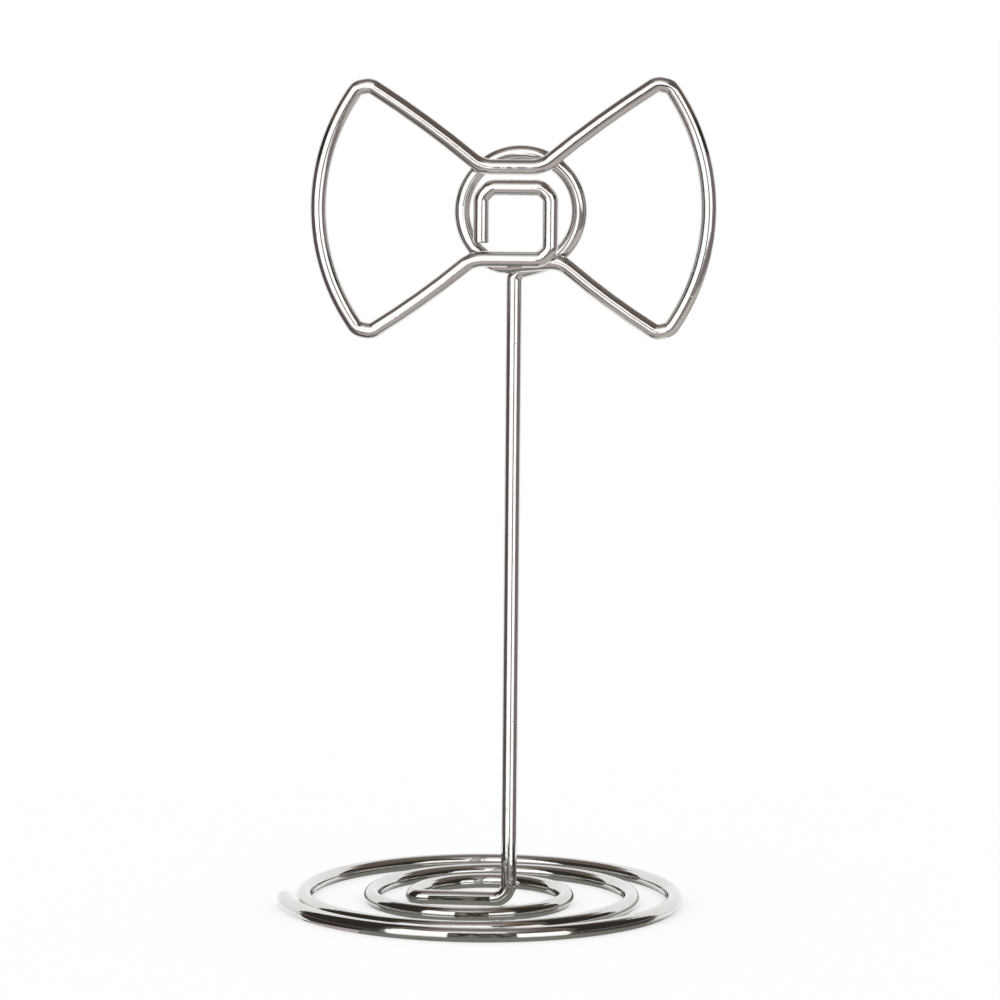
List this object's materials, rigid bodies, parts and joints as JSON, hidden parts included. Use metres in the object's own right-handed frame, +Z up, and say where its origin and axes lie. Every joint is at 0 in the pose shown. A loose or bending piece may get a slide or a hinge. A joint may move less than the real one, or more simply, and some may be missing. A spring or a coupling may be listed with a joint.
{
  "type": "place card holder",
  "caption": "Bright plated wire place card holder: a flat spiral base, a thin upright stem and a bow-tie head whose ring, wings and square knot grip a card between them.",
  "frame": {"origin": "on the table, under the middle of the outline seen from above", "axes": "+Z up along the stem, +X to the right of a person facing the bow, -Y out of the bow's front"},
  "size_m": [0.0438, 0.0406, 0.0845],
  "materials": {
    "plated_wire": "bright mirror plating on steel wire"
  },
  "bodies": {
    "stand": {"spiral_base": "plated_wire", "foot_bar": "plated_wire", "foot_elbow": "plated_wire", "stem": "plated_wire", "stem_neck": "plated_wire", "back_ring": "plated_wire", "crossover": "plated_wire"},
    "bow": {"right_root": "plated_wire", "lower_right_arm": "plated_wire", "lower_right_tip": "plated_wire", "right_side": "plated_wire", "upper_right_tip": "plated_wire", "upper_right_arm": "plated_wire", "top_bar": "plated_wire", "upper_left_arm": "plated_wire", "upper_left_tip": "plated_wire", "left_side": "plated_wire", "lower_left_tip": "plated_wire", "lower_left_arm": "plated_wire", "knot_root": "plated_wire"},
    "knot": {"knot_bottom": "plated_wire", "knot_lower_corner": "plated_wire", "knot_side": "plated_wire", "knot_right_corner": "plated_wire", "knot_top": "plated_wire", "knot_left_corner": "plated_wire", "knot_tail": "plated_wire"}
  },
  "joints": [
    {"name": "bow_flex", "type": "hinge", "parent": "stand", "child": "bow", "pos_m": [0.00322, -0.00329, 0.06573], "axis": [0.9962, 0.0074, 0.0868], "range_deg": [0, 10], "stiffness_Nm_per_rad": 1.5},
    {"name": "knot_flex", "type": "hinge", "parent": "bow", "child": "knot", "pos_m": [0.00089, -0.00535, 0.06628], "axis": [1, 0, 0], "range_deg": [0, 6], "stiffness_Nm_per_rad": 1.3}
  ]
}
